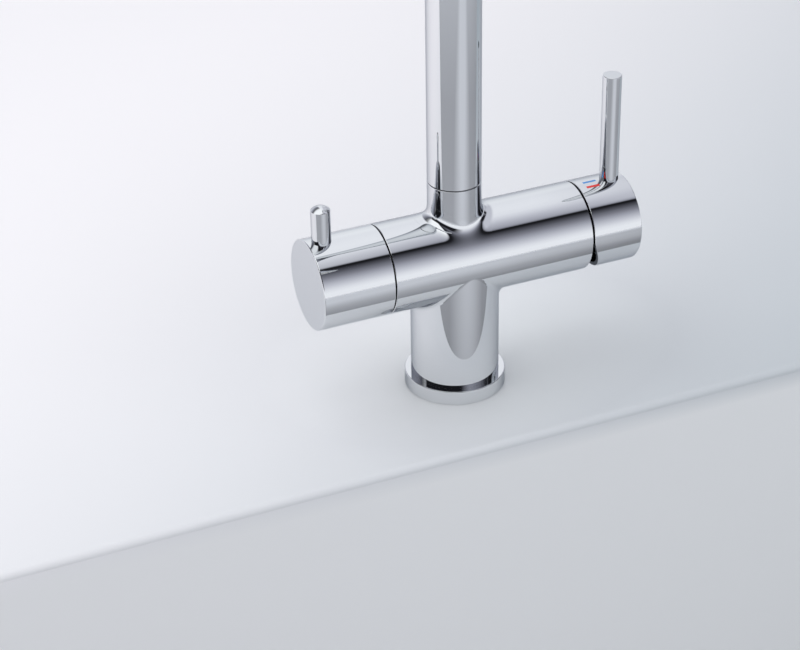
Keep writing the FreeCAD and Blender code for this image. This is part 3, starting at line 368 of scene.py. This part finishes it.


# Floor: one wide pale sheet of a fine mineral composite. Its colour carries painted light and shade: whiter
# to the left, a cool grey to the right, paler round the foot and darker on the lower level. It steps down in
# front of the tap with a rounded lip. It is only the stage, and fades out at its rim.
floor_reach = 2.0
floor_drop = 0.0001
step_front = -0.067
step_depth = 0.20
step_lean = 0.06
lip_radius = 0.004
lip_parts = 10
floor_line = [(floor_reach, -floor_drop)]
for part in range(lip_parts + 1):
    turn = math.pi / 2 * part / lip_parts
    floor_line.append((step_front + lip_radius * (1 - math.sin(turn)),
                       -floor_drop - lip_radius * (1 - math.cos(turn))))
floor_line += [(step_front - step_lean, -step_depth), (-floor_reach, -step_depth)]
floor_skin = [(side * floor_reach, y, z) for y, z in floor_line for side in (-1, 1)]
floor_mesh = bpy.data.meshes.new("pale_floor")
floor_mesh.from_pydata(floor_skin, [], [(row, row + 1, row + 3, row + 2)
                                        for row in range(0, len(floor_skin) - 2, 2)])
pale_floor = bpy.data.objects.new("pale_floor", floor_mesh)
bpy.context.scene.collection.objects.link(pale_floor)

floor_finish, tree, shader = start_finish("pale_floor")
place = add_node(tree, "TexCoord", {}).outputs["Object"]
height = add_node(tree, "SeparateXYZ", {"Vector": place}).outputs["Z"]
away = add_node(tree, "VectorMath", {0: place}, operation="LENGTH").outputs["Value"]


def floor_sweep(turn, start, end):
    """A soft step across the floor, from 0 at start to 1 at end, measured along that turn."""
    span = end - start
    mapping = add_node(tree, "Mapping", {"Vector": place, "Rotation": (0, 0, turn),
                                         "Scale": (1 / span,) * 3, "Location": (-start / span, 0, 0)})
    sweep = add_node(tree, "TexGradient", {"Vector": mapping.outputs["Vector"]}, gradient_type="EASING")
    return sweep.outputs["Fac"]


def floor_patch(centre, turn, reach):
    """An oval patch of the floor, from 0 at its rim to 1 at its centre."""
    mapping = add_node(tree, "Mapping", {"Vector": place, "Location": centre, "Rotation": (0, 0, turn),
                                         "Scale": reach}, vector_type="TEXTURE")
    patch = add_node(tree, "TexGradient", {"Vector": mapping.outputs["Vector"]}, gradient_type="SPHERICAL")
    return patch.outputs["Fac"]


# The upper level sweeps from near white at the left to cool grey at the right and front: painted light and
# shade, falling off from the back left.
sweep_turn = 0.95
upper_lit_left, upper_shaded_right = (0.944, 0.923, 0.941), (0.425, 0.485, 0.52)
# The paler patch round the foot and under the cross tube is painted light, which lifts the floor where the
# tap's own shadow falls.
foot_light_left, foot_light_right = (0.95, 0.95, 0.955), (0.88, 0.93, 0.935)
foot_centre, foot_reach, foot_rim, foot_light_cover = (0.018, 0.022, 0), (0.12, 0.085, 1), (0.0, 0.65), 0.6
upper = blend_tones(floor_sweep(sweep_turn, -0.40, 0.46), upper_lit_left, upper_shaded_right)
foot_painted_light = blend_tones(floor_sweep(sweep_turn, -0.15, 0.15), foot_light_left, foot_light_right)
foot_light_patch = floor_patch(foot_centre, 0, foot_reach)
upper = lay_over(upper, spread(foot_light_patch, onto=(0.0, foot_light_cover), over=foot_rim), foot_painted_light)

front_left, front_right = (0.79, 0.796, 0.81), (0.757, 0.779, 0.792)
front = blend_tones(floor_sweep(0.0, -0.4, 0.4), front_left, front_right)

# The lower level is a darker grey as painted shade, which the chrome mirrors. It is darker still near the
# step as a painted shadow, with a painted pool of light in front, and it is paler further out.
low_near_shadow, low_far, low_pale = (0.27, 0.276, 0.292), (0.38, 0.388, 0.41), (0.64, 0.656, 0.687)
pool_centre, pool_turn, pool_reach = (0.20, -0.95, 0), 0.31, (0.44, 0.86, 100)
pool_rim, pale_rim, near_rim = (0.0, 0.6), (0.8, 1.5), (0.42, 0.58)
painted_light_pool = spread(floor_patch(pool_centre, pool_turn, pool_reach), over=pool_rim)
pale_share = reckon("MAXIMUM", painted_light_pool, spread(away, onto=(0.0, 1.2), over=pale_rim))
near_shadow_share = spread(away, onto=(1.0, 0.0), over=near_rim)
low = lay_over(blend_tones(pale_share, low_far, low_pale), near_shadow_share,
               blend_tones(pale_share, low_near_shadow, low_pale))

front_start = (-0.012, -0.003)
low_start = (-step_depth + 0.001, -step_depth + 0.003)
front_share = spread(height, onto=(1.0, 0.0), over=front_start)
low_share = spread(height, onto=(1.0, 0.0), over=low_start)
composite_scale, composite_polish, composite_gloss = 900, (0.55, 0.7), 0.2
floor_fade = (1.3, 1.95)
feed(shader, {"Base Color": lay_over(lay_over(upper, front_share, front), low_share, low),
              "Roughness": spread(speckle(tree, composite_scale), onto=composite_polish),
              "Specular IOR Level": composite_gloss,
              "Alpha": spread(away, onto=(1.0, 0.0), over=floor_fade)})
floor_mesh.materials.append(floor_finish)


# Studio: a white wall in front and another behind, both darker towards the top, with an open ceiling between
# them. A grey screen and black flags at the sides draw the dark lines on the chrome, and two wide lamps
# soften the shadow.
studio = bpy.data.worlds.new("studio")
bpy.context.scene.world = studio
studio.use_nodes = True
tree = studio.node_tree
way = add_node(tree, "TexCoord", {}).outputs["Generated"]
parts = add_node(tree, "SeparateXYZ", {"Vector": way}).outputs
ahead = reckon("MULTIPLY", parts["Y"], -1.0)
angle_over = reckon("ARCTAN2", parts["Z"], ahead)
angle_round = reckon("ARCTAN2", parts["X"], ahead)


def tone_row(source, ends, stops):
    """A row of tones along an angle, a side or a height, between its two ends."""
    tones = add_node(tree, "ValToRGB", {"Fac": spread(source, over=ends)})
    for step, (place, tone) in enumerate(stops):
        position = (place - ends[0]) / (ends[1] - ends[0])
        if step < 2:
            stop = tones.color_ramp.elements[step]
            stop.position = position
        else:
            stop = tones.color_ramp.elements.new(position)
        stop.color = (*tone, 1)
    return tones.outputs["Color"]


def cool(tone):
    """A grey with a blue cast, which is stronger in the darker ones."""
    return (tone * 0.975, tone, tone * (1.03 + 0.2 * (1 - tone)))


def wall_row(tones):
    """A wall's tones by degrees, from the front up over the ceiling and down behind."""
    return tone_row(angle_over, (0.0, math.pi),
                    [(math.radians(angle), cool(tone)) for angle, tone in tones])


def edges_over(edges):
    """How far a panel covers what is behind it, by the same degrees."""
    return tone_row(angle_over, (0.0, math.pi),
                    [(math.radians(angle), (cover,) * 3) for angle, cover in edges])


def edges_aside(edges):
    """The same from the left, at -1, to the right, at 1."""
    return tone_row(parts["X"], (-1.0, 1.0), [(aside, (cover,) * 3) for aside, cover in edges])


def edges_round(edges):
    """The same by degrees round the tap, from the front to the right."""
    return tone_row(angle_round, (-math.pi, math.pi),
                    [(math.radians(angle), (cover,) * 3) for angle, cover in edges])


def edges_up(edges):
    """The same from level, at 0, to straight up, at 1."""
    return tone_row(parts["Z"], (0.0, 1.0), [(up, (cover,) * 3) for up, cover in edges])


front_wall = wall_row(((0, 0.92), (8, 0.82), (18, 0.62), (28, 0.42), (38, 0.23), (48, 0.10), (57, 0.014),
                       (61, 0.010), (64, 0.34), (69, 0.42), (79, 0.56), (89, 0.72), (99, 0.84), (112, 0.88),
                       (139, 0.88), (152, 0.96), (168, 0.96), (180, 0.82)))
back_wall = wall_row(((96, 0.84), (110, 0.60), (116, 0.38), (119, 0.015), (123, 0.02), (132, 0.12),
                      (142, 0.26), (152, 0.44), (162, 0.62), (172, 0.82), (180, 0.92)))
back_cover = reckon("MULTIPLY", edges_aside(((0.08, 1), (0.18, 0), (0.56, 0), (0.66, 1))),
                    edges_over(((90, 0), (97, 1))))
ceiling_tone = cool(1.05)
ceiling_cover = reckon("MULTIPLY", edges_over(((61, 0), (66, 1), (100, 1), (130, 0))),
                       edges_aside(((0.15, 1), (0.36, 0))))
screen_tone = cool(0.60)
screen_cover = reckon("MULTIPLY", edges_over(((64, 0), (70, 1), (140, 1), (160, 0))),
                      edges_aside(((0.40, 0), (0.46, 1))))
flag_tone = cool(0.012)
flag_cover = reckon("MULTIPLY", edges_round(((-112, 0), (-104, 1), (-8, 1), (14, 0),
                                             (66, 0), (74, 1), (108, 1), (116, 0))),
                    edges_up(((0.10, 0), (0.2, 1), (0.56, 1), (0.68, 0))))
walls = lay_over(front_wall, back_cover, back_wall)
for panel_cover, panel_tone in ((ceiling_cover, ceiling_tone), (screen_cover, screen_tone),
                                (flag_cover, flag_tone)):
    walls = lay_over(walls, panel_cover, panel_tone)

room_light = 1.06
backdrop_tone = (0.80, 0.81, 0.84)
room = tree.nodes["Background"]
feed(room, {"Color": walls, "Strength": room_light})
backdrop = add_node(tree, "Background", {"Color": (*backdrop_tone, 1)})
rays = add_node(tree, "LightPath", {})
seen = add_node(tree, "MixShader", {0: rays.outputs["Is Camera Ray"], 1: room.outputs["Background"],
                                    2: backdrop.outputs["Background"]})
feed(tree.nodes["World Output"], {"Surface": seen.outputs["Shader"]})

lamp_width = 4.0
for name, place, power in (("left_lamp", (-1.5, 0.3, 2.0), 39),
                           ("front_lamp", (0.5, -2.0, 1.6), 29)):
    lamp = bpy.data.lights.new(name, "AREA")
    lamp.shape = "DISK"
    lamp.size = lamp_width
    lamp.energy = power
    hung_lamp = bpy.data.objects.new(name, lamp)
    hung_lamp.location = place
    hung_lamp.rotation_euler = hung_lamp.location.to_track_quat("Z", "Y").to_euler()
    hung_lamp.visible_glossy = False
    hung_lamp.visible_camera = False
    bpy.context.scene.collection.objects.link(hung_lamp)


# Camera: in front of the tap's left end and above it, looking down to the neck. A long lens keeps the
# uprights nearly parallel, and a small shift sets the tap right of the middle.
lens = bpy.data.cameras.new("camera")
lens.sensor_width = 36.0
lens.lens = 101.847
lens.shift_x = -0.0835
camera = bpy.data.objects.new("camera", lens)
camera.location = (-0.42533, -0.93000, 0.65396)
camera.rotation_euler = (1.02518, 0, -0.43525)
bpy.context.scene.collection.objects.link(camera)
bpy.context.scene.camera = camera

bpy.context.scene.view_settings.view_transform = "Standard"
